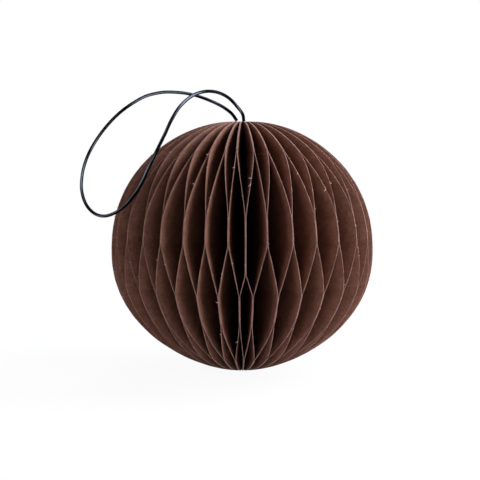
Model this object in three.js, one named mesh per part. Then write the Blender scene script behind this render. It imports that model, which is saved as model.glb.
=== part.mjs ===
// Paper ball ornament: card sheets glued together in alternating lines, bound along a spine,
// opened all the way round into a honeycomb ball and hung from a loop of round cord.
// Millimetres, +Z up along the spine, origin at the middle of the ball, front towards -Y.
import * as THREE from 'three';

// Ball: outline of one sheet, turned about the spine
const BALL_DIAMETER = 80;
const BALL_HEIGHT = 75.8;
const UPPER_OUTLINE = { shoulder: 2.07, pole: 1.78 }; // fullness near the widest point and near the pole
const LOWER_OUTLINE = { shoulder: 2.3, pole: 1.5 }; // the lower half is a little more pointed
const POLE_RADIUS = 3.9; // half the width of the flat that a sheet has at either pole

// Sheets
const SHEET_THICKNESS = 0.22;
const PAIR_COUNT = 34; // glued pairs of sheets round the ball

// Glue lines from the top down: each joins every sheet to the neighbour that the last line left free
const GLUE_HEIGHTS = [32.7, 7.2, -14.2, -35.2]; // middle of each line; the end lines run on to the poles
const GLUE_WIDTH = 7.8;
const BEND_POWERS = [1.3, 1, 1.7]; // parting from the line nearer the middle: 1 is straight, more is slower

// Closing seam, where the first sheet was glued to the last
const SEAM_AZIMUTH = 1.42; // degrees from the front towards +X
const SEAM_LINE = 1; // glue line that closes the seam
const SEAM_GLUE_EXTRA = 7.8; // how far the glue of the seam runs on below that line
const SEAM_SPREAD_ABOVE = 1.32; // opening of the cells beside the seam, where 1 is halfway to the next pair
const SEAM_SPREAD_BELOW = 0.74;

// Spacing of the pairs that were opened by hand either side of the seam, where 1 is the rest of the ball
const SPACING_BEFORE_SEAM = [1.065, 1.073, 0.92, 0.998, 0.876, 0.856, 0.647];
const SPACING_AFTER_SEAM = [0.804, 0.99, 0.998, 1.109, 1.184, 1.107];
const FRONT_FAN = 0.0018; // radians more to either side of the front, per millimetre above the seam's line

// Hanging cord
const CORD_DIAMETER = 1;
const CORD_SIDES = 8;
const CORD_STEPS = 72;
const CORD_ROUTE = [
  [0.5, -0.7, 38.05],
  [0.2, -1.1, 40],
  [-1, -2, 41.8],
  [-3.8, -4.3, 44.7],
  [-6.7, -6.8, 46.2],
  [-9.5, -9.2, 46.6],
  [-12.3, -11.6, 46.1],
  [-15, -14, 44.7],
  [-18, -16.8, 41.7],
  [-20.3, -18.8, 37.8],
  [-22, -20, 34],
  [-24.3, -21, 29.2],
  [-26.8, -21.2, 24],
  [-29.3, -20.8, 18.8],
  [-31.9, -19.7, 15.3],
  [-35, -17.6, 12.4],
  [-38.2, -14.8, 10.6],
  [-41.3, -11.6, 9.9],
  [-44.4, -8, 10.6],
  [-47, -4.8, 12.8],
  [-48.6, -2, 15.9],
  [-49.2, 0.4, 19.5],
  [-48.7, 3, 24.5],
  [-46.8, 5.4, 29.8],
  [-42.9, 7.2, 35.9],
  [-37.7, 8, 41.3],
  [-31.5, 7.6, 45.3],
  [-26.9, 6.8, 46.8],
  [-22, 6, 47.2],
  [-15.1, 4.4, 46.3],
  [-8, 2.2, 43.6],
  [-3.6, 1.1, 40.8],
  [-1.6, 0.6, 38.25],
];

// Facets
const LEVEL_STEP = 8; // degrees of the outline between one section and the next

const SHEET_COUNT = 2 * PAIR_COUNT;
const TOP = BALL_HEIGHT / 2;
const RIM = BALL_DIAMETER / 2;

// Rim radius at a height: a superellipse standing on the flat at the pole
function rimRadius(z) {
  const { shoulder, pole } = z > 0 ? UPPER_OUTLINE : LOWER_OUTLINE;
  const share = Math.min(1, Math.abs(z) / TOP);
  return POLE_RADIUS + (RIM - POLE_RADIUS) * (1 - share ** shoulder) ** (1 / pole);
}

// Azimuth of every pair in the seam's glue line, in radians, going round from the front towards +X
function pairAzimuths() {
  const opened = [...SPACING_BEFORE_SEAM, ...SPACING_AFTER_SEAM];
  const spacing = Array.from({ length: PAIR_COUNT }, (_, k) => opened[k] ?? 1);
  const unit = (2 * Math.PI) / spacing.reduce((sum, part) => sum + part, 0);
  const beforeSeam = SPACING_BEFORE_SEAM.reduce((sum, part) => sum + part, 0);
  let azimuth = THREE.MathUtils.degToRad(SEAM_AZIMUTH) - beforeSeam * unit;
  return spacing.map((part) => {
    const here = azimuth;
    azimuth += part * unit;
    return here;
  });
}

const PAIRS = pairAzimuths();
const SEAM_PAIR = SPACING_BEFORE_SEAM.length;

// Azimuth of a pair, counted on past the full turn in either direction
function pairAt(k) {
  const turns = Math.floor(k / PAIR_COUNT);
  return PAIRS[k - turns * PAIR_COUNT] + turns * 2 * Math.PI;
}

// Meeting place of pairs k and k + 1 in the glue lines that join them: halfway, apart from beside the seam
function meetingAt(k, z) {
  const spread = z > GLUE_HEIGHTS[SEAM_LINE] ? SEAM_SPREAD_ABOVE : SEAM_SPREAD_BELOW;
  const halfway = (pairAt(k + 1) - pairAt(k)) / 2;
  if (k === SEAM_PAIR) return pairAt(k) + spread * halfway;
  if (k === SEAM_PAIR - 1) return pairAt(k + 1) - spread * halfway;
  return pairAt(k) + halfway;
}

// Azimuth fanned out to either side of the front, more so towards the top
function fanned(azimuth, z) {
  return azimuth + FRONT_FAN * (z - GLUE_HEIGHTS[SEAM_LINE]) * Math.sin(azimuth);
}

// Share of the way from a pair to its meeting place: 0 in the seam's line, 1 in the lines beside it,
// and a bend of the card between the glue lines
function openingAt(z, glueExtra) {
  const state = (line) => Math.abs(line - SEAM_LINE) % 2;
  const last = GLUE_HEIGHTS.length - 1;
  if (z >= GLUE_HEIGHTS[0] - GLUE_WIDTH / 2) return state(0);
  for (let line = 0; line < last; line += 1) {
    const extra = line === SEAM_LINE ? glueExtra : 0;
    const upper = GLUE_HEIGHTS[line] - GLUE_WIDTH / 2 - extra;
    const lower = GLUE_HEIGHTS[line + 1] + GLUE_WIDTH / 2;
    if (z >= upper) return state(line);
    if (z > lower) {
      const [near, far] = line < SEAM_LINE ? [lower, upper] : [upper, lower];
      const [nearLine, farLine] = line < SEAM_LINE ? [line + 1, line] : [line, line + 1];
      const parted = THREE.MathUtils.inverseLerp(near, far, z) ** BEND_POWERS[line];
      return THREE.MathUtils.lerp(state(nearLine), state(farLine), parted);
    }
  }
  return state(last);
}

// Azimuth of a sheet's middle plane; glued sheets lie side by side, half a sheet from the glue
function sheetAzimuth(sheet, z, halfSheet) {
  const pair = Math.floor(sheet / 2);
  const isFirst = sheet % 2 === 0;
  const glueExtra = pair === SEAM_PAIR ? SEAM_GLUE_EXTRA : 0;
  const side = isFirst ? -halfSheet : halfSheet;
  const inPair = fanned(pairAt(pair), z) + side;
  const inMeeting = fanned(meetingAt(isFirst ? pair - 1 : pair, z), z) - side;
  return THREE.MathUtils.lerp(inPair, inMeeting, openingAt(z, glueExtra));
}

// Heights of the sections: every end of a glue line, with even steps of the outline between them
function sectionHeights() {
  const ends = GLUE_HEIGHTS.flatMap((middle) => [middle + GLUE_WIDTH / 2, middle - GLUE_WIDTH / 2]);
  const seamEnd = GLUE_HEIGHTS[SEAM_LINE] - GLUE_WIDTH / 2 - SEAM_GLUE_EXTRA;
  const stations = [...ends.slice(1, -1), seamEnd].filter((z) => Math.abs(z) < TOP);
  const angles = [TOP, ...stations, -TOP].map((z) => Math.asin(z / TOP)).sort((a, b) => b - a);
  const heights = [TOP];
  for (let k = 1; k < angles.length; k += 1) {
    const run = angles[k - 1] - angles[k];
    const steps = Math.ceil(THREE.MathUtils.radToDeg(run) / LEVEL_STEP);
    for (let step = 1; step <= steps; step += 1) {
      heights.push(TOP * Math.sin(angles[k - 1] - (run * step) / steps));
    }
  }
  return heights;
}

// True where the nearest glue line lies above a height, so that the cells there open downwards
function opensDownwards(z) {
  const away = (line) => Math.abs(line - z);
  const nearest = GLUE_HEIGHTS.reduce((best, line) => (away(line) < away(best) ? line : best));
  return nearest > z;
}

// The glued sheets as one solid: star-shaped sections down the spine, each with a wedge-shaped cell
// between two sheets that closes to a point on the rim where the sheets are glued
function paperBallGeometry() {
  const positions = [];
  const triangles = [];

  function addPoint(azimuth, radius, z) {
    positions.push(radius * Math.sin(azimuth), -radius * Math.cos(azimuth), z);
    return positions.length / 3 - 1;
  }

  function addTriangle(a, b, c) {
    if (a !== b && b !== c && c !== a) triangles.push(a, b, c);
  }

  // Strip between neighbouring points p and q of an upper and a lower section
  function addStrip(upperP, upperQ, lowerP, lowerQ, splitFromUpperP) {
    if (splitFromUpperP) {
      addTriangle(upperP, lowerP, lowerQ);
      addTriangle(upperP, lowerQ, upperQ);
    } else {
      addTriangle(upperP, lowerP, upperQ);
      addTriangle(upperQ, lowerP, lowerQ);
    }
  }

  // For each cell: the rim of the sheet before it, its root and the rim of the sheet after it
  function addSection(z) {
    const radius = rimRadius(z);
    const halfSheet = Math.asin(SHEET_THICKNESS / 2 / radius);
    const middles = Array.from({ length: SHEET_COUNT }, (_, sheet) => sheetAzimuth(sheet, z, halfSheet));
    middles.push(middles[0] + 2 * Math.PI);
    return Array.from({ length: SHEET_COUNT }, (_, sheet) => {
      const before = middles[sheet];
      const after = middles[sheet + 1];
      const halfCell = (after - before) / 2;
      const root = SHEET_THICKNESS / 2 / Math.sin(halfCell);
      if (root >= radius - SHEET_THICKNESS / 2) {
        const glued = addPoint((before + after) / 2, radius, z);
        return [glued, glued, glued];
      }
      return [
        addPoint(before + halfSheet, radius, z),
        addPoint((before + after) / 2, root, z),
        addPoint(after - halfSheet, radius, z),
      ];
    });
  }

  const heights = sectionHeights();
  const sections = heights.map(addSection);
  for (let level = 1; level < sections.length; level += 1) {
    const upper = sections[level - 1];
    const lower = sections[level];
    const downwards = opensDownwards((heights[level - 1] + heights[level]) / 2);
    for (let sheet = 0; sheet < SHEET_COUNT; sheet += 1) {
      const next = (sheet + 1) % SHEET_COUNT;
      addStrip(upper[sheet][0], upper[sheet][1], lower[sheet][0], lower[sheet][1], downwards);
      addStrip(upper[sheet][1], upper[sheet][2], lower[sheet][1], lower[sheet][2], !downwards);
      addStrip(upper[sheet][2], upper[next][0], lower[sheet][2], lower[next][0], downwards);
    }
  }

  const topRing = sections[0].flat();
  const bottomRing = sections[sections.length - 1].flat();
  const topMiddle = addPoint(0, 0, TOP);
  const bottomMiddle = addPoint(0, 0, -TOP);
  topRing.forEach((p, k) => addTriangle(topMiddle, p, topRing[(k + 1) % topRing.length]));
  bottomRing.forEach((p, k) => addTriangle(bottomMiddle, bottomRing[(k + 1) % bottomRing.length], p));

  const geometry = new THREE.BufferGeometry();
  geometry.setAttribute('position', new THREE.Float32BufferAttribute(positions, 3));
  geometry.setIndex(triangles);
  geometry.computeVertexNormals();
  return geometry;
}

// The loop of round cord, from the top of the spine out to the left, over the front and back to the spine
function hangingCordGeometry() {
  const route = new THREE.CatmullRomCurve3(CORD_ROUTE.map((point) => new THREE.Vector3(...point)));
  const corners = Array.from({ length: CORD_SIDES }, (_, k) => {
    const angle = (2 * Math.PI * k) / CORD_SIDES;
    return new THREE.Vector2(Math.cos(angle), Math.sin(angle)).multiplyScalar(CORD_DIAMETER / 2);
  });
  return new THREE.ExtrudeGeometry(new THREE.Shape(corners), { steps: CORD_STEPS, extrudePath: route });
}

const cardFinish = new THREE.MeshStandardMaterial({ color: 0x825748, roughness: 0.9, metalness: 0 });
const cordFinish = new THREE.MeshStandardMaterial({ color: 0x121418, roughness: 0.35, metalness: 0 });

const paperBall = new THREE.Mesh(paperBallGeometry(), cardFinish);
paperBall.name = 'paper_ball';

const hangingCord = new THREE.Mesh(hangingCordGeometry(), cordFinish);
hangingCord.name = 'hanging_cord';

const ornament = new THREE.Group();
ornament.add(paperBall, hangingCord);

export default ornament;
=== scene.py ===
import math

import bpy
import numpy as np
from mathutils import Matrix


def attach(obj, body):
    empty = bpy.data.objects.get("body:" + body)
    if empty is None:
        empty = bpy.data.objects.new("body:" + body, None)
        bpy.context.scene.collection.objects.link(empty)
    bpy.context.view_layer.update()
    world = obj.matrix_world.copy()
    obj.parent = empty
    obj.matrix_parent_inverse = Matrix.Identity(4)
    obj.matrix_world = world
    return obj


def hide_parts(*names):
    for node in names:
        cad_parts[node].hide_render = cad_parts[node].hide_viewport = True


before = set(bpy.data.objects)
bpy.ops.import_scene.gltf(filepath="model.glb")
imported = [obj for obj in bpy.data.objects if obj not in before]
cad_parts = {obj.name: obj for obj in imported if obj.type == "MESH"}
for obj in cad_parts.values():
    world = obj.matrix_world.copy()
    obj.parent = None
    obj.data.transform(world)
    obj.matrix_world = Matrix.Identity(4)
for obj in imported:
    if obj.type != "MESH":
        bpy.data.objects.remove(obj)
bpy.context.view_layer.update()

MM = 0.001
TURN = 2 * math.pi

# Ball: outline of one sheet, turned about the spine
BALL_RADIUS = 40 * MM
BALL_TOP = 37.9 * MM
UPPER_OUTLINE = (2.07, 1.78)  # fullness near the widest point and near the pole
LOWER_OUTLINE = (2.3, 1.5)
POLE_RADIUS = 3.9 * MM  # half the width of the flat that a sheet has at either pole

# Sheets
SHEET_THICKNESS = 0.22 * MM
PAIR_COUNT = 34
SHEET_COUNT = 2 * PAIR_COUNT

# Glue lines from the top down
GLUE_HEIGHTS = np.array([32.7, 7.2, -14.2, -35.2]) * MM
GLUE_WIDTH = 7.8 * MM
GLUE_ROUNDING = 0.5 * MM  # height above and below over which the bend of a sheet is averaged
ROUNDING_SAMPLES = 9
BEND_POWERS = (1.3, 1.0, 1.7)  # parting above the second line, below it and below the third: 1 is straight

# Closing seam, at the front
SEAM_AZIMUTH = math.radians(1.42)
SEAM_LINE = 1  # its glue line, the second from the top
SEAM_GLUE_EXTRA = 7.8 * MM  # how much further down its pair is glued
SEAM_SPREAD_ABOVE = 1.32  # how far its pair opens above its line, in even openings
SEAM_SPREAD_BELOW = 0.74

# Spacing from pair to pair on the front, in steps of the back
SPACING_BEFORE_SEAM = [1.065, 1.073, 0.92, 0.998, 0.876, 0.856, 0.647]
SPACING_AFTER_SEAM = [0.804, 0.99, 0.998, 1.109, 1.184, 1.107]
SEAM_PAIR = len(SPACING_BEFORE_SEAM)
FRONT_FAN = 0.0018 / MM  # radians more to either side of the front, per metre above the seam's line

# Cut edges
EDGE_POINTS = 3  # corner, crown and corner
EDGE_ROUND = 0.03 * MM  # how far the corners of a cut edge lie inside its crown
EDGE_UNEVEN = 0.03 * MM  # unevenness of the cut
UNEVEN_SEED = 4
EDGE_THINNING = 0.6  # most of its half thickness that an edge loses where the cut is ragged
RAGGED_SEED = 9
GLUE_GROOVE = 0.12 * MM  # depth of the line between two glued edges
GLUE_SLIT = 0.03 * MM  # width of that line

# Grid of the sheets
LEVEL_COUNT = 118
LEVELS_AT_GLUE = np.array([-0.4, 0.0, 0.4]) * MM  # more levels about either end of a glue line
LEVELS_AT_GLUE_REACH = 0.95  # share of the way to the poles within which these are added
WALL_POINTS = 3
WALL_CROWDING = 1.5  # power that brings the points of a wall closer to its edge
SHARP_ANGLE = math.radians(35)

# Loose fibres on the cut edges: sheet, height and length in mm, lean to the side and down in degrees
FRONT_FIBRES = np.array([
    (15, 21.6, 0.9, -70, -10), (15, 20, 1, -45, 40), (22, 18.6, 0.8, -40, -25),
    (22, 18.4, 1.2, -65, 35), (11, -12.2, 0.7, -60, -20), (13, -24.2, 0.7, -60, 20),
    (11, -21.8, 0.6, -50, 10), (13, 24.6, 0.6, -50, 20), (20, 22.9, 0.6, -60, 30),
    (9, 20, 0.7, -60, -10), (8, -0.9, 0.6, 50, 0), (24, 8, 0.6, 60, 20),
])
OTHER_FIBRES = 220
OTHER_FIBRES_FROM = np.array([0, -32, 0.15, -75, -45])
OTHER_FIBRES_TO = np.array([SHEET_COUNT, 32, 0.5, 75, 45])
FIBRE_SEED = 21
FIBRE_DIAMETER = 0.26 * MM
FIBRE_TAPER = 0.6  # share of its thickness that a fibre loses towards its tip
FIBRE_ROOT = 0.15 * MM  # how deep in the card it starts
FIBRE_LIFT = 0.1 * MM  # how much further out its tip is brought
FIBRE_LEAST_OUT = 0.05  # least square of the share of its length that goes straight out
FIBRE_UPRIGHT_TILT = 0.3  # tilt of the upright that its rings are set out from, so that none runs along it
FIBRE_SIDES = 5
FIBRE_RINGS = 5

# Hanging cord
CORD_DIAMETER = 1 * MM
CORD_SIDES = 20
CORD_STEPS = 10  # rings from one point of the route to the next
CORD_ROUTE = np.array([
    (0.5, -0.7, 38.05), (0.2, -1.1, 40), (-1, -2, 41.8), (-3.8, -4.3, 44.7), (-6.7, -6.8, 46.2),
    (-9.5, -9.2, 46.6), (-12.3, -11.6, 46.1), (-15, -14, 44.7), (-18, -16.8, 41.7), (-20.3, -18.8, 37.8),
    (-22, -20, 34), (-24.3, -21, 29.2), (-26.8, -21.2, 24), (-29.3, -20.8, 18.8), (-31.9, -19.7, 15.3),
    (-35, -17.6, 12.4), (-38.2, -14.8, 10.6), (-41.3, -11.6, 9.9), (-44.4, -8, 10.6), (-47, -4.8, 12.8),
    (-48.6, -2, 15.9), (-49.2, 0.4, 19.5), (-48.7, 3, 24.5), (-46.8, 5.4, 29.8), (-42.9, 7.2, 35.9),
    (-37.7, 8, 41.3), (-31.5, 7.6, 45.3), (-26.9, 6.8, 46.8), (-22, 6, 47.2), (-15.1, 4.4, 46.3),
    (-8, 2.2, 43.6), (-3.6, 1.1, 40.8), (-1.6, 0.6, 38.25),
]) * MM

# Card: tones of its darkest and lightest fibres, fineness of the fibres, height of the nap and gloss
FACE_TONES = ((0.065, 0.0266, 0.0164), (0.176, 0.0723, 0.0456))
FACE_FINENESS = 1400
FACE_NAP = 0.03 * MM
FACE_GLOSS = 0.15
RIM_PAINTED_LIGHT = (1.95, 2.15, 2.4)  # painted light at the rim, in tones of the card: the walls are drawn lighter and bluer near the rim and darker deeper in the cells
RIM_PAINTED_LIGHT_WIDTH = 6.0 * MM
CUT_TONES = ((0.163, 0.083, 0.074), (0.33, 0.168, 0.15))
CUT_FINENESS = 2200
CUT_NAP = 0.05 * MM
CUT_GLOSS = 0.4
TORN_TONES = ((0.36, 0.22, 0.19), (0.6, 0.4, 0.35))
TORN_FINENESS = 2200
TORN_NAP = 0.02 * MM
TORN_GLOSS = 0.15
CARD_ROUGHNESS = 0.65
NAP_STRENGTH = 0.6

# Pulp of the card: soft clouds under fine tangled fibres
CLOUD_SCALE = 330
CLOUD_DETAIL = 3
PULP_DETAIL = 6
PULP_HARSHNESS = 0.7
PULP_TANGLE = 1.2
PULP_SHARE = 0.7  # share of the fibres in the tone, the rest being the clouds
PULP_RANGE = (0.32, 0.68)  # values between which the tone goes from dark to light

# Finish of the cord, with painted highlight streaks in its colour; stretches are repeats for each turn
# round it and for each diameter along it
CORD_BLACK = (0.002, 0.002, 0.003)
# bluish colour of the painted highlight streaks
CORD_PAINTED_HIGHLIGHT = (0.2, 0.225, 0.29)
HIGHLIGHT_STREAK_STRETCH = (5, 0.06, 1)
HIGHLIGHT_STREAK_DETAIL = 2
HIGHLIGHT_STREAK_RANGE = (0.52, 0.62)  # values between which the painted highlight sets in
GRAIN_STRETCH = (14, 0.8, 1)
GRAIN_DETAIL = 4
GRAIN_STRENGTH = 0.12
GRAIN_DEPTH = 0.03 * MM
CORD_ROUGHNESS = (0.2, 0.32)
CORD_GLOSS = 0.015

# Camera: where the photo was taken from
CAMERA_DISTANCE = 320 * MM
CAMERA_ELEVATION = math.radians(5.26)
CAMERA_LENS = 78
CAMERA_SENSOR = 36
CAMERA_NEAREST = 10 * MM
FRAME_PIXELS = 480
BALL_PIXEL = (241.6, 245.3)  # where the middle of the ball falls in the frame
FRAME_MIDDLE = 239.5

# Floor and low wall round it
FLOOR_GAP = 0.2 * MM  # clear height under the ball, which hangs
FLOOR_HEIGHT = -BALL_TOP - FLOOR_GAP
FLOOR_MIDDLE = 0.1  # radius of the innermost ring
FLOOR_RADIUS = 1.2
SWEEP_RADIUS = 0.4
SWEEP_STEPS = 24
SWEEP_TOP = 0.6
SWEEP_SIDES = 96
FLOOR_SHADE = (0.88, 0.88, 0.88)
FLOOR_ROUGHNESS = 0.9
SHADOW_REACH = (0.06, 0.2)  # distances from the middle of the ball between which the floor turns white
SHADOW_WHITENESS = 0.94  # share of white nearest the ball

# Light: name, place, size in metres, power in watts and colour of each lamp, and the surroundings
LAMPS = [
    ("key_lamp", (0.57, 0.11, 0.391), 0.5, 7.7, (0.94, 1.02, 1.11)),
    ("top_lamp", (0, 0.329, 0.618), 0.3, 2.1, (0.9, 0.95, 1)),
    ("left_lamp", (-0.55, 0.05, 0.42), 0.3, 0.6, (1, 0.97, 0.95)),
    ("fill_lamp", (-0.35, -0.35, 0.495), 0.5, 0.7, (1, 0.86, 0.76)),
    ("low_lamp", (0.56, -0.388, 0.156), 0.3, 2.8, (1, 1, 1)),
]
SURROUNDINGS_COLOUR = (1, 0.96, 0.93)
SURROUNDINGS_STRENGTH = 0.09


def ring_points(radius, azimuth):
    """Points on level rings as complex numbers x + iy: the radius turned from the front, -Y, to +X."""
    return -1j * radius * np.exp(1j * azimuth)


def unit(vectors):
    """Each vector divided by its length."""
    return vectors / np.linalg.norm(vectors, axis=-1, keepdims=True)


def rim_radius(height):
    """Outline of the ball: the flat at the pole plus the rest of the radius times
    (1 - share**shoulder)**(1/pole), where share is how far the height is towards the pole, with two
    powers of its own above and below the middle."""
    share = np.clip(np.abs(height) / BALL_TOP, 0, 1)
    shoulder = np.where(height > 0, UPPER_OUTLINE[0], LOWER_OUTLINE[0])
    pole = np.where(height > 0, UPPER_OUTLINE[1], LOWER_OUTLINE[1])
    return POLE_RADIUS + (BALL_RADIUS - POLE_RADIUS) * (1 - share**shoulder) ** (1 / pole)


def half_sheet_angle(radius):
    """Angle about the spine that half a sheet's thickness takes up at a radius."""
    return np.arcsin(SHEET_THICKNESS / 2 / radius)


def pair_azimuths():
    """Azimuth of each glued pair in the seam's line: running sum of the spacings, scaled to one turn
    and counted from the seam."""
    spacing = np.ones(PAIR_COUNT)
    opened = SPACING_BEFORE_SEAM + SPACING_AFTER_SEAM
    spacing[: len(opened)] = opened
    running = np.concatenate([[0.0], np.cumsum(spacing)])
    return SEAM_AZIMUTH + (running[:-1] - running[SEAM_PAIR]) * TURN / running[-1]


def parted(height, near, far, power):
    """How far two sheets have parted: the share of the way from near to far, raised to the power."""
    return np.clip((height - near) / (far - near), 0, 1) ** power


def opening_shares(height):
    """Share of the way from a pair to its meeting place, for every height and pair: sheets part from
    the seam's line upwards and downwards and close again to the lowest line, averaged over a short
    height so that the card bends instead of breaking."""
    upper = GLUE_HEIGHTS + GLUE_WIDTH / 2
    lower = np.repeat(GLUE_HEIGHTS[:, None] - GLUE_WIDTH / 2, PAIR_COUNT, axis=1)
    lower[SEAM_LINE, SEAM_PAIR] -= SEAM_GLUE_EXTRA
    around = (height + np.linspace(-1, 1, ROUNDING_SAMPLES) * GLUE_ROUNDING)[..., None]
    above = parted(around, upper[1], lower[0], BEND_POWERS[0])
    middle = parted(around, lower[1], upper[2], BEND_POWERS[1])
    below = 1 - parted(around, lower[2], upper[3], BEND_POWERS[2])
    return (above + middle * below).mean(axis=1)


def fanned(azimuth, height):
    """Azimuth plus its sine times the height above the seam's line times the fan."""
    return azimuth + FRONT_FAN * (height - GLUE_HEIGHTS[SEAM_LINE]) * np.sin(azimuth)


def sheet_azimuths(height, half_sheet):
    """Azimuth of every sheet's middle plane at every height: a mix of its fanned place in its own pair
    and in the pair that it makes with the next pair's sheet, half a sheet from the glue."""
    pair = np.broadcast_to(pair_azimuths(), (len(height), PAIR_COUNT))
    following = np.roll(pair, -1, axis=1) + np.where(np.arange(PAIR_COUNT) == PAIR_COUNT - 1, TURN, 0)
    step = (following - pair) / 2
    spread = np.where(height > GLUE_HEIGHTS[SEAM_LINE], SEAM_SPREAD_ABOVE, SEAM_SPREAD_BELOW)[:, 0]
    step[:, SEAM_PAIR] *= spread
    step[:, SEAM_PAIR - 1] *= 2 - spread
    after = pair + step
    before = np.roll(after, 1, axis=1) - np.where(np.arange(PAIR_COUNT) == 0, TURN, 0)
    share = opening_shares(height)
    own = fanned(pair, height)
    first = (own - half_sheet) * (1 - share) + (fanned(before, height) + half_sheet) * share
    second = (own + half_sheet) * (1 - share) + (fanned(after, height) - half_sheet) * share
    return np.stack([first, second], axis=2).reshape(len(height), SHEET_COUNT)


def level_heights():
    """Heights of the levels: even steps of angle from pole to pole, and more at the ends of the glue."""
    even = BALL_TOP * np.sin(np.linspace(math.pi / 2, -math.pi / 2, LEVEL_COUNT))
    ends = np.concatenate([GLUE_HEIGHTS + GLUE_WIDTH / 2, GLUE_HEIGHTS - GLUE_WIDTH / 2])
    close = (ends[:, None] + LEVELS_AT_GLUE).ravel()
    close = close[np.abs(close) < LEVELS_AT_GLUE_REACH * BALL_TOP]
    return np.sort(np.concatenate([even, close]))[::-1][:, None]


def ring_faces(rows, columns):
    """Quads of a grid whose columns close into a ring, from one row to the row below it."""
    corner = np.arange(rows * columns).reshape(rows, columns)
    right = np.roll(corner, -1, axis=1)
    return np.stack([corner[:-1], corner[1:], right[1:], right[:-1]], axis=-1).reshape(-1, 4)


def end_caps(rows, columns):
    """Triangles that close the first and the last ring of such a grid, each to a middle point of its
    own, the two points coming next after the grid's."""
    ring = np.arange(columns)
    next_ring = np.roll(ring, -1)
    last = (rows - 1) * columns
    middle = np.full(columns, rows * columns)
    first_cap = np.stack([middle, ring, next_ring], axis=1)
    last_cap = np.stack([middle + 1, last + next_ring, last + ring], axis=1)
    return first_cap, last_cap


def new_piece(name, points, faces, materials, face_material=None):
    """A mesh object at the origin from an array of points and a list of arrays of faces."""
    mesh = bpy.data.meshes.new(name)
    mesh.from_pydata(points.tolist(), [], [face for group in faces for face in group.tolist()])
    for material in materials:
        mesh.materials.append(material)
    if face_material is not None:
        mesh.polygons.foreach_set("material_index", face_material.astype(np.int32))
    mesh.polygons.foreach_set("use_smooth", np.ones(len(mesh.polygons), bool))
    mesh.update()
    piece = bpy.data.objects.new(name, mesh)
    bpy.context.scene.collection.objects.link(piece)
    return piece


def paper_ball(card_face, cut_edge):
    """The glued sheets as one closed surface. At each height the section is a star: the rounded cut
    edge of a sheet, its wall straight in to the root of the cell, and the next sheet's wall straight
    out again. The root lies where two walls of that thickness meet, half the thickness over the sine of
    half the cell's angle. An edge loses thickness by the square of an even chance, and its crown lies
    in and out by a normal one."""
    height = level_heights()
    levels = len(height)
    radius = rim_radius(height)
    middle = sheet_azimuths(height, half_sheet_angle(radius))
    after = np.roll(middle, -1, axis=1)
    after[:, -1] += TURN
    half_cell = (after - middle) / 2
    ragged = np.random.default_rng(RAGGED_SEED).random((levels, SHEET_COUNT)) ** 2
    half_edge = np.arcsin((SHEET_THICKNESS - GLUE_SLIT) / 2 / radius) * (1 - EDGE_THINNING * ragged)
    root_radius = np.minimum(SHEET_THICKNESS / 2 / np.sin(half_cell), radius - GLUE_GROOVE)

    uneven = np.random.default_rng(UNEVEN_SEED).normal(0, EDGE_UNEVEN, (levels, SHEET_COUNT))
    uneven = (np.roll(uneven, 1, axis=0) + 2 * uneven + np.roll(uneven, -1, axis=0)) / 4
    crown_radius = radius + uneven - EDGE_UNEVEN
    corner_radius = crown_radius - EDGE_ROUND
    next_corner_radius = np.roll(corner_radius, -1, axis=1)

    corner_before = ring_points(corner_radius, middle - half_edge)
    crown = ring_points(crown_radius, middle)
    corner_after = ring_points(corner_radius, middle + half_edge)
    edge = np.stack([corner_before, crown, corner_after], axis=-1)
    root = ring_points(root_radius, middle + half_cell)
    next_corner = ring_points(next_corner_radius, after - half_edge)
    way = np.linspace(0, 1, WALL_POINTS + 2)[1:-1] ** WALL_CROWDING
    wall_in = corner_after[..., None] + (root - corner_after)[..., None] * way
    wall_out = next_corner[..., None] + (root - next_corner)[..., None] * way[::-1]
    section = np.concatenate([edge, wall_in, root[..., None], wall_out], axis=-1)
    per_sheet = section.shape[-1]
    columns = SHEET_COUNT * per_sheet
    flat = section.reshape(levels, columns)
    grid = np.stack([flat.real, flat.imag, np.broadcast_to(height, flat.shape)], axis=-1).reshape(-1, 3)
    poles = np.array([(0, 0, BALL_TOP), (0, 0, -BALL_TOP)])
    points = np.concatenate([grid, poles])

    faces = [ring_faces(levels, columns), *end_caps(levels, columns)]
    on_edge = np.tile(np.arange(columns) % per_sheet < EDGE_POINTS - 1, levels - 1)
    face_material = np.concatenate([on_edge, np.ones(2 * columns, bool)])
    piece = new_piece("paper_ball_sheets", points, faces, [card_face, cut_edge], face_material)
    # depth below the rim, which the card face uses for its painted rim light
    depth = np.concatenate([(radius - np.abs(flat)).ravel(), [0.0, 0.0]])
    piece.data.attributes.new("depth_from_rim", "FLOAT", "POINT").data.foreach_set("value", depth)
    piece.data.set_sharp_from_angle(angle=SHARP_ANGLE)
    return piece


def fibre_places():
    """Sheet, height, length and leans of every loose fibre: the ones on the front, and more all round
    at even chances, shorter than those."""
    chance = np.random.default_rng(FIBRE_SEED).random((OTHER_FIBRES, FRONT_FIBRES.shape[1]))
    others = OTHER_FIBRES_FROM + chance * (OTHER_FIBRES_TO - OTHER_FIBRES_FROM)
    places = np.concatenate([FRONT_FIBRES, others])
    return places[:, 0].astype(int), places[:, 1] * MM, places[:, 2] * MM, np.radians(places[:, 3:])


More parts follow.
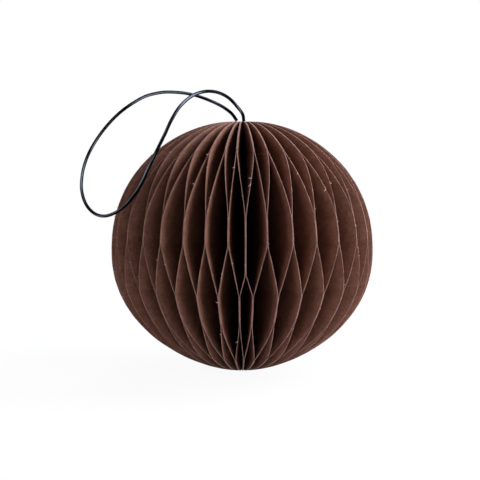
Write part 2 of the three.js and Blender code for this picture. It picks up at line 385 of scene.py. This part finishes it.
def loose_fibres(finish):
    """Fibres torn loose by the cut, each a thin tapering tube along a bow: it leaves its sheet's edge
    straight out and turns to its lean with the square of the way along."""
    sheet, height, length, lean = fibre_places()
    count = len(sheet)
    radius = rim_radius(height)
    all_sheets = sheet_azimuths(height[:, None], half_sheet_angle(radius)[:, None])
    azimuth = all_sheets[np.arange(count), sheet]
    zero = np.zeros(count)
    outward = np.stack([np.sin(azimuth), -np.cos(azimuth), zero], axis=1)
    sideways = np.stack([np.cos(azimuth), np.sin(azimuth), zero], axis=1)
    upward = np.cross(outward, sideways)
    aside, down = np.sin(lean).T[..., None]
    ahead = np.sqrt(np.clip(1 - aside**2 - down**2, FIBRE_LEAST_OUT, 1))
    foot = outward * (radius - FIBRE_ROOT)[:, None] + upward * height[:, None]
    way = np.linspace(0, 1, FIBRE_RINGS)[None, :, None]
    bow = (sideways * aside - upward * down)[:, None] * way**2 + (outward * ahead)[:, None] * way
    route = foot[:, None] + bow * length[:, None, None] + outward[:, None] * FIBRE_LIFT * way

    along = unit(np.gradient(route, axis=1))
    side = unit(np.cross(along, (upward + FIBRE_UPRIGHT_TILT * outward)[:, None]))
    cross = np.cross(side, along)
    angle = np.linspace(0, TURN, FIBRE_SIDES, endpoint=False)[:, None]
    circle = side[:, :, None] * np.cos(angle) + cross[:, :, None] * np.sin(angle)
    thickness = FIBRE_DIAMETER / 2 * (1 - FIBRE_TAPER * way)[..., None]
    rings = route[:, :, None] + circle * thickness
    points = np.concatenate([rings.reshape(count, -1, 3), route[:, :1], route[:, -1:]], axis=1)
    first = (np.arange(count) * points.shape[1])[:, None, None]
    one_fibre = [ring_faces(FIBRE_RINGS, FIBRE_SIDES), *end_caps(FIBRE_RINGS, FIBRE_SIDES)]
    faces = [(first + group).reshape(-1, group.shape[1]) for group in one_fibre]
    return new_piece("loose_edge_fibres", points.reshape(-1, 3), faces, [finish])


def smooth_route(points, steps):
    """A smooth curve through the points: on each stretch the cubic whose slopes at the two points are
    half the way from the point before to the point after."""
    before_first = 2 * points[:1] - points[1:2]
    after_last = 2 * points[-1:] - points[-2:-1]
    p = np.concatenate([before_first, points, after_last])
    a, b, c, d = (p[k : len(p) - 3 + k, None] for k in range(4))
    t = np.linspace(0, 1, steps, endpoint=False)[None, :, None]
    slope = (c - a) / 2
    square = (2 * a - 5 * b + 4 * c - d) / 2
    cube = (3 * b - a - 3 * c + d) / 2
    curve = b + slope * t + square * t**2 + cube * t**3
    return np.concatenate([curve.reshape(-1, 3), points[-1:]])


def hanging_cord(finish):
    """A round tube along the cord's route: circles across the route, set out from the normal of the
    plane that fits the loop best, with a UV map of turns round the cord and diameters along it."""
    route = smooth_route(CORD_ROUTE, CORD_STEPS)
    rows = len(route)
    along = unit(np.gradient(route, axis=0))
    plane_normal = np.linalg.svd(route - route.mean(axis=0))[2][2]
    side = unit(np.cross(along, plane_normal))
    up = np.cross(side, along)
    angle = np.linspace(0, TURN, CORD_SIDES, endpoint=False)[None, :, None]
    circle = side[:, None] * np.cos(angle) + up[:, None] * np.sin(angle)
    rings = route[:, None] + circle * CORD_DIAMETER / 2
    points = np.concatenate([rings.reshape(-1, 3), route[:1], route[-1:]])
    faces = [ring_faces(rows, CORD_SIDES), *end_caps(rows, CORD_SIDES)]
    piece = new_piece("hanging_cord_loop", points, faces, [finish])

    run = np.concatenate([[0], np.cumsum(np.linalg.norm(np.diff(route, axis=0), axis=1))]) / CORD_DIAMETER
    turn = np.arange(CORD_SIDES) / CORD_SIDES
    next_turn = turn + 1 / CORD_SIDES
    across = np.stack([turn, turn, next_turn, next_turn], axis=-1)
    across = np.broadcast_to(across, (rows - 1, CORD_SIDES, 4))
    onward = np.stack([run[:-1], run[1:], run[1:], run[:-1]], axis=-1)[:, None]
    onward = np.broadcast_to(onward, (rows - 1, CORD_SIDES, 4))
    caps = np.zeros((2 * CORD_SIDES * 3, 2))
    uv = np.concatenate([np.stack([across, onward], axis=-1).reshape(-1, 2), caps])
    piece.data.uv_layers.new(name="along_cord").data.foreach_set("uv", uv.ravel())
    return piece, route


def new_material(name):
    """An empty node material with its main shader and its output."""
    material = bpy.data.materials.new(name)
    material.use_nodes = True
    nodes = material.node_tree.nodes
    nodes.clear()
    output = nodes.new("ShaderNodeOutputMaterial")
    shader = nodes.new("ShaderNodeBsdfPrincipled")
    material.node_tree.links.new(shader.outputs["BSDF"], output.inputs["Surface"])
    return material, shader, output


def noise(tree, place, detail, scale=None):
    """A noise texture at a place, with the scale set here unless a link gives it."""
    texture = tree.nodes.new("ShaderNodeTexNoise")
    texture.inputs["Detail"].default_value = detail
    if scale is not None:
        texture.inputs["Scale"].default_value = scale
    tree.links.new(place, texture.inputs["Vector"])
    return texture


def ranged(tree, value, start, end, results=(0, 1), smooth=False):
    """A value taken from the range of start to end to the range of the results, and kept within it."""
    node = tree.nodes.new("ShaderNodeMapRange")
    if smooth:
        node.interpolation_type = "SMOOTHSTEP"
    node.inputs["From Min"].default_value = start
    node.inputs["From Max"].default_value = end
    node.inputs["To Min"].default_value = results[0]
    node.inputs["To Max"].default_value = results[1]
    tree.links.new(value, node.inputs["Value"])
    return node.outputs["Result"]


def colour_mix(tree, factor, blend="MIX"):
    """A mix of two colours by a factor: the sockets of its two colours and of its result."""
    node = tree.nodes.new("ShaderNodeMix")
    node.data_type = "RGBA"
    node.blend_type = blend
    tree.links.new(factor, node.inputs["Factor"])
    return node.inputs[6], node.inputs[7], node.outputs[2]


def raise_grain(tree, shader, height, strength, depth):
    """A bump of that depth from a mask of heights, on the shader's normal."""
    bump = tree.nodes.new("ShaderNodeBump")
    bump.inputs["Strength"].default_value = strength
    bump.inputs["Distance"].default_value = depth
    tree.links.new(height, bump.inputs["Height"])
    tree.links.new(bump.outputs["Normal"], shader.inputs["Normal"])


def paper_fibre_group():
    """Fibres of pressed card from a place on it: its tone, of soft clouds and fine tangled fibres, and
    the height of its nap."""
    group = bpy.data.node_groups.new("paper_fibre", "ShaderNodeTree")
    face = group.interface
    face.new_socket("Place", in_out="INPUT", socket_type="NodeSocketVector")
    face.new_socket("Dark", in_out="INPUT", socket_type="NodeSocketColor")
    face.new_socket("Light", in_out="INPUT", socket_type="NodeSocketColor")
    face.new_socket("Fibre Scale", in_out="INPUT", socket_type="NodeSocketFloat")
    face.new_socket("Colour", in_out="OUTPUT", socket_type="NodeSocketColor")
    face.new_socket("Nap", in_out="OUTPUT", socket_type="NodeSocketFloat")
    start = group.nodes.new("NodeGroupInput")
    end = group.nodes.new("NodeGroupOutput")
    cloud = noise(group, start.outputs["Place"], CLOUD_DETAIL, CLOUD_SCALE)
    pulp = noise(group, start.outputs["Place"], PULP_DETAIL)
    pulp.inputs["Roughness"].default_value = PULP_HARSHNESS
    pulp.inputs["Distortion"].default_value = PULP_TANGLE
    group.links.new(start.outputs["Fibre Scale"], pulp.inputs["Scale"])
    tone = group.nodes.new("ShaderNodeMix")
    tone.data_type = "FLOAT"
    tone.inputs["Factor"].default_value = PULP_SHARE
    group.links.new(cloud.outputs["Fac"], tone.inputs[2])
    group.links.new(pulp.outputs["Fac"], tone.inputs[3])
    dark, light, colour = colour_mix(group, ranged(group, tone.outputs[0], *PULP_RANGE))
    group.links.new(start.outputs["Dark"], dark)
    group.links.new(start.outputs["Light"], light)
    group.links.new(colour, end.inputs["Colour"])
    group.links.new(pulp.outputs["Fac"], end.inputs["Nap"])
    return group


def card_material(name, fibre, tones, fineness, nap, gloss):
    """Matte dyed card: the fibre group gives the tone and the nap, which is felt as a fine bump."""
    material, shader, _ = new_material(name)
    tree = material.node_tree
    place = tree.nodes.new("ShaderNodeTexCoord")
    grain = tree.nodes.new("ShaderNodeGroup")
    grain.node_tree = fibre
    grain.inputs["Dark"].default_value = (*tones[0], 1)
    grain.inputs["Light"].default_value = (*tones[1], 1)
    grain.inputs["Fibre Scale"].default_value = fineness
    tree.links.new(place.outputs["Object"], grain.inputs["Place"])
    tree.links.new(grain.outputs["Colour"], shader.inputs["Base Color"])
    raise_grain(tree, shader, grain.outputs["Nap"], NAP_STRENGTH, nap)
    shader.inputs["Roughness"].default_value = CARD_ROUGHNESS
    shader.inputs["Specular IOR Level"].default_value = gloss
    return material


def paint_rim_light(material, rim_light_tone, width):
    """Painted light towards the rim and painted shade deeper in the cells: the card's tone times the rim
    light tone, fading out over the width.
    """
    tree = material.node_tree
    shader = next(node for node in tree.nodes if node.type == "BSDF_PRINCIPLED")
    tone = shader.inputs["Base Color"].links[0].from_socket
    depth = tree.nodes.new("ShaderNodeAttribute")
    depth.attribute_name = "depth_from_rim"
    rim_light_share = ranged(tree, depth.outputs["Fac"], width, 0, smooth=True)
    card, rim_light_input, result = colour_mix(tree, rim_light_share, "MULTIPLY")
    rim_light_input.default_value = (*rim_light_tone, 1)
    tree.links.new(tone, card)
    tree.links.new(result, shader.inputs["Base Color"])


def cord_streaks(tree, stretch, detail):
    """Noise along the cord, on its UV map, as a mask."""
    place = tree.nodes.new("ShaderNodeTexCoord")
    mapping = tree.nodes.new("ShaderNodeMapping")
    mapping.inputs["Scale"].default_value = stretch
    tree.links.new(place.outputs["UV"], mapping.inputs["Vector"])
    return noise(tree, mapping.outputs["Vector"], detail, scale=1).outputs["Fac"]


def cord_material():
    """Smooth black cord with little gloss: long bluish streaks in its colour are painted highlights, set
    at random along it, and a faint lengthwise grain in its roughness and bump."""
    material, shader, _ = new_material("black_cord_painted_highlights")
    tree = material.node_tree
    grain = cord_streaks(tree, GRAIN_STRETCH, GRAIN_DETAIL)
    tree.links.new(ranged(tree, grain, 0, 1, CORD_ROUGHNESS), shader.inputs["Roughness"])
    raise_grain(tree, shader, grain, GRAIN_STRENGTH, GRAIN_DEPTH)
    # painted highlights: bluish streaks mixed into the black colour
    highlight_share = ranged(tree, cord_streaks(tree, HIGHLIGHT_STREAK_STRETCH, HIGHLIGHT_STREAK_DETAIL), *HIGHLIGHT_STREAK_RANGE)
    black, painted_highlight, colour = colour_mix(tree, highlight_share)
    black.default_value = (*CORD_BLACK, 1)
    painted_highlight.default_value = (*CORD_PAINTED_HIGHLIGHT, 1)
    tree.links.new(colour, shader.inputs["Base Color"])
    shader.inputs["Specular IOR Level"].default_value = CORD_GLOSS
    return material


def calculated(tree, operation, first, second):
    """A value worked out from two others."""
    node = tree.nodes.new("ShaderNodeMath")
    node.operation = operation
    tree.links.new(first, node.inputs[0])
    tree.links.new(second, node.inputs[1])
    return node.outputs[0]


def floor_material():
    """White sweep: a matte shade that takes the soft shadow, mixed with plain white for what sees it
    directly, by a share that rises to all of it away from the ball."""
    material, shader, output = new_material("white_sweep")
    tree = material.node_tree
    shader.inputs["Base Color"].default_value = (*FLOOR_SHADE, 1)
    shader.inputs["Roughness"].default_value = FLOOR_ROUGHNESS
    shader.inputs["Specular IOR Level"].default_value = 0
    path = tree.nodes.new("ShaderNodeLightPath").outputs
    seen = calculated(tree, "MAXIMUM", path["Is Camera Ray"], path["Is Glossy Ray"])
    seen = calculated(tree, "MAXIMUM", seen, path["Is Transmission Ray"])
    place = tree.nodes.new("ShaderNodeTexCoord")
    reach = tree.nodes.new("ShaderNodeVectorMath")
    reach.operation = "LENGTH"
    tree.links.new(place.outputs["Object"], reach.inputs[0])
    whiteness = ranged(tree, reach.outputs["Value"], *SHADOW_REACH, (SHADOW_WHITENESS, 1), smooth=True)
    white = tree.nodes.new("ShaderNodeEmission")
    mix = tree.nodes.new("ShaderNodeMixShader")
    tree.links.new(calculated(tree, "MULTIPLY", seen, whiteness), mix.inputs["Fac"])
    tree.links.new(shader.outputs["BSDF"], mix.inputs[1])
    tree.links.new(white.outputs["Emission"], mix.inputs[2])
    tree.links.new(mix.outputs["Shader"], output.inputs["Surface"])
    return material


def white_sweep():
    """Floor and low wall in one sheet: a flat disc, a quarter circle and a straight wall, turned about
    the upright line through the ball."""
    bend = np.linspace(0, math.pi / 2, SWEEP_STEPS)
    wall_radius = FLOOR_RADIUS + SWEEP_RADIUS
    reach = np.concatenate([[FLOOR_MIDDLE], FLOOR_RADIUS + SWEEP_RADIUS * np.sin(bend), [wall_radius]])
    rise = np.concatenate([[0.0], SWEEP_RADIUS * (1 - np.cos(bend)), [SWEEP_TOP]])
    turn = np.linspace(0, TURN, SWEEP_SIDES, endpoint=False)
    ring = ring_points(reach[:, None], turn)
    height = np.broadcast_to((FLOOR_HEIGHT + rise)[:, None], ring.shape)
    grid = np.stack([ring.real, ring.imag, height], axis=-1).reshape(-1, 3)
    points = np.concatenate([grid, [(0, 0, FLOOR_HEIGHT)]])
    middle, _ = end_caps(len(reach), SWEEP_SIDES)
    faces = [ring_faces(len(reach), SWEEP_SIDES), middle]
    return new_piece("white_sweep", points, faces, [floor_material()])


def soft_lamp(name, place, size, power, colour):
    """A square soft lamp aimed at the middle of the ball."""
    lamp = bpy.data.lights.new(name, "AREA")
    lamp.size = size
    lamp.energy = power
    lamp.color = colour
    holder = bpy.data.objects.new(name, lamp)
    holder.location = place
    aim = -holder.location.normalized()
    holder.rotation_euler = aim.to_track_quat("-Z", "Y").to_euler()
    bpy.context.scene.collection.objects.link(holder)


def studio_light():
    """Weak even surroundings, and soft lamps: the main one to the right, weaker ones above and behind,
    to the left, and to the front on either side."""
    world = bpy.data.worlds.new("dim_studio")
    bpy.context.scene.world = world
    world.use_nodes = True
    surroundings = world.node_tree.nodes["Background"]
    surroundings.inputs["Color"].default_value = (*SURROUNDINGS_COLOUR, 1)
    surroundings.inputs["Strength"].default_value = SURROUNDINGS_STRENGTH
    for lamp in LAMPS:
        soft_lamp(*lamp)


def photo_camera():
    """A camera on the photo's line of sight, shifted so that the ball falls where the photo has it."""
    data = bpy.data.cameras.new("photo_camera")
    data.lens = CAMERA_LENS
    data.sensor_width = CAMERA_SENSOR
    data.shift_x = (FRAME_MIDDLE - BALL_PIXEL[0]) / FRAME_PIXELS
    data.shift_y = (BALL_PIXEL[1] - FRAME_MIDDLE) / FRAME_PIXELS
    data.clip_start = CAMERA_NEAREST
    camera = bpy.data.objects.new("photo_camera", data)
    level_distance = CAMERA_DISTANCE * math.cos(CAMERA_ELEVATION)
    camera.location = (0, -level_distance, CAMERA_DISTANCE * math.sin(CAMERA_ELEVATION))
    camera.rotation_euler = (math.pi / 2 - CAMERA_ELEVATION, 0, 0)
    bpy.context.scene.collection.objects.link(camera)
    bpy.context.scene.camera = camera


bpy.context.scene.view_settings.view_transform = "Standard"
photo_camera()
studio_light()
white_sweep()

fibre = paper_fibre_group()
card_face = card_material("brown_card_face", fibre, FACE_TONES, FACE_FINENESS, FACE_NAP, FACE_GLOSS)
# paints light on the card near the rim of each cell, leaving the deeper walls darker as painted shade
paint_rim_light(card_face, RIM_PAINTED_LIGHT, RIM_PAINTED_LIGHT_WIDTH)
cut_edge = card_material("brown_card_cut_edge", fibre, CUT_TONES, CUT_FINENESS, CUT_NAP, CUT_GLOSS)
ball = paper_ball(card_face, cut_edge)
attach(ball, "root")
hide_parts("paper_ball")

torn_fibre = card_material("pale_torn_fibre", fibre, TORN_TONES, TORN_FINENESS, TORN_NAP, TORN_GLOSS)
fibres = loose_fibres(torn_fibre)
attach(fibres, "root")

cord, cord_line = hanging_cord(cord_material())
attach(cord, "root")
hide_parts("hanging_cord")
